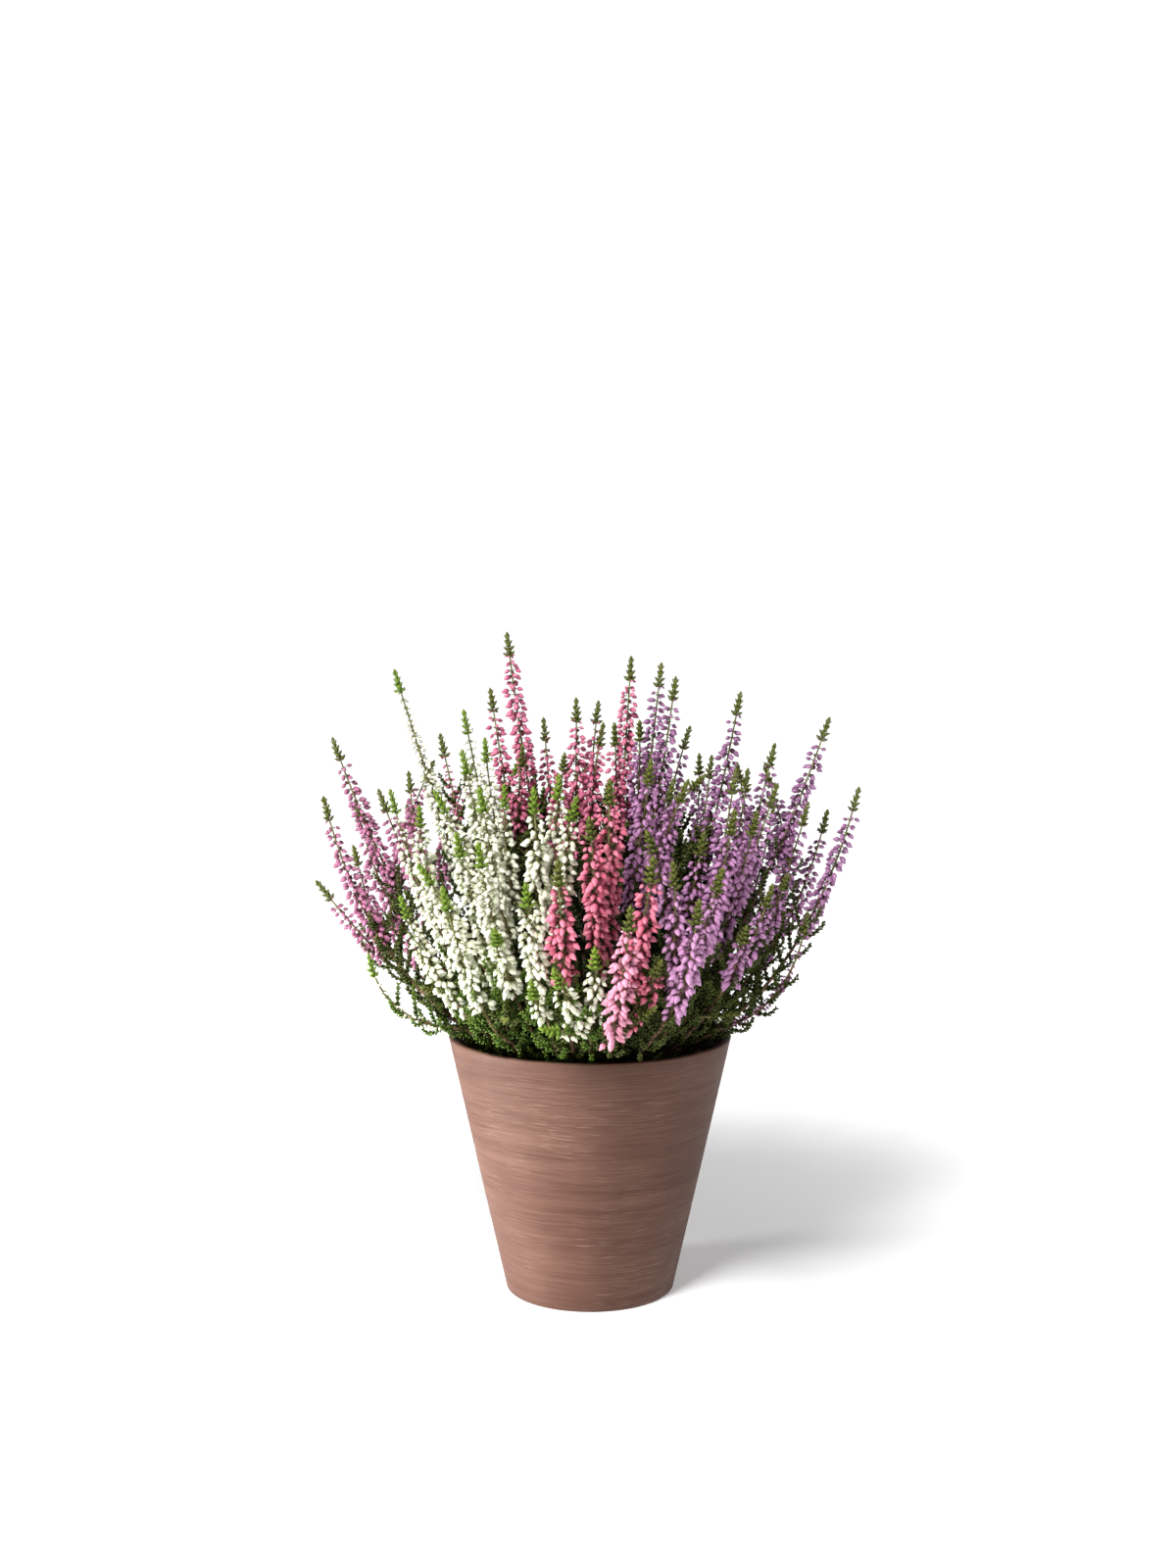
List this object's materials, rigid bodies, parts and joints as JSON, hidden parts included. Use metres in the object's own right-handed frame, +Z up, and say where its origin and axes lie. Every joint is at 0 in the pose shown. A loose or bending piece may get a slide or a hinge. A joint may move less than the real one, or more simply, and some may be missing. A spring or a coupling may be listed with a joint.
{
  "type": "potted heath",
  "caption": "Potted heather with upright flower spikes in white, pink, lilac and mauve over dark green scale leaves, in a tapered brushed clay pot.",
  "frame": {"origin": "centre of the pot's underside, on the surface it stands on", "axes": "+Z up along the pot's axis, -Y towards the side that the picture shows, +X to the right in the picture"},
  "size_m": [0.2477, 0.2268, 0.3021],
  "materials": {
    "pot": "matt, with fine brushed rings",
    "soil": "loose dark peat",
    "white": "soft petals on yellow-green stems",
    "pink": "soft petals on brown-green stems",
    "lilac": "soft petals on brown stems",
    "mauve": "soft petals on brown stems",
    "leafy": "small waxy scale leaves"
  },
  "bodies": {
    "root": {"pot": "pot", "soil": "soil", "mauve_spray_01": "mauve", "mauve_spray_02": "mauve", "mauve_spray_03": "mauve", "mauve_spray_04": "mauve", "mauve_spray_05": "mauve", "mauve_spray_06": "mauve", "white_spray_01": "white", "white_spray_02": "white", "white_spray_03": "white", "white_spray_04": "white", "white_spray_05": "white", "white_spray_06": "white", "white_spray_07": "white", "white_spray_08": "white", "white_spray_09": "white", "white_spray_10": "white", "white_spray_11": "white", "white_spray_12": "white", "white_spray_13": "white", "white_spray_14": "white", "pink_spray_01": "pink", "pink_spray_02": "pink", "pink_spray_03": "pink", "pink_spray_04": "pink", "pink_spray_05": "pink", "pink_spray_06": "pink", "pink_spray_07": "pink", "pink_spray_08": "pink", "pink_spray_09": "pink", "pink_spray_10": "pink", "pink_spray_11": "pink", "pink_spray_12": "pink", "lilac_spray_01": "lilac", "lilac_spray_02": "lilac", "lilac_spray_03": "lilac", "lilac_spray_04": "lilac", "lilac_spray_05": "lilac", "lilac_spray_06": "lilac", "lilac_spray_07": "lilac", "lilac_spray_08": "lilac", "lilac_spray_09": "lilac", "lilac_spray_10": "lilac", "lilac_spray_11": "lilac", "lilac_spray_12": "lilac", "lilac_spray_13": "lilac", "lilac_spray_14": "lilac", "lilac_spray_15": "lilac", "lilac_spray_16": "lilac", "lilac_spray_17": "lilac", "leafy_bunch_01": "leafy", "leafy_bunch_02": "leafy", "leafy_bunch_03": "leafy", "leafy_bunch_04": "leafy", "leafy_bunch_05": "leafy", "leafy_bunch_06": "leafy", "leafy_bunch_07": "leafy", "leafy_bunch_08": "leafy", "leafy_bunch_09": "leafy"}
  },
  "joints": []
}
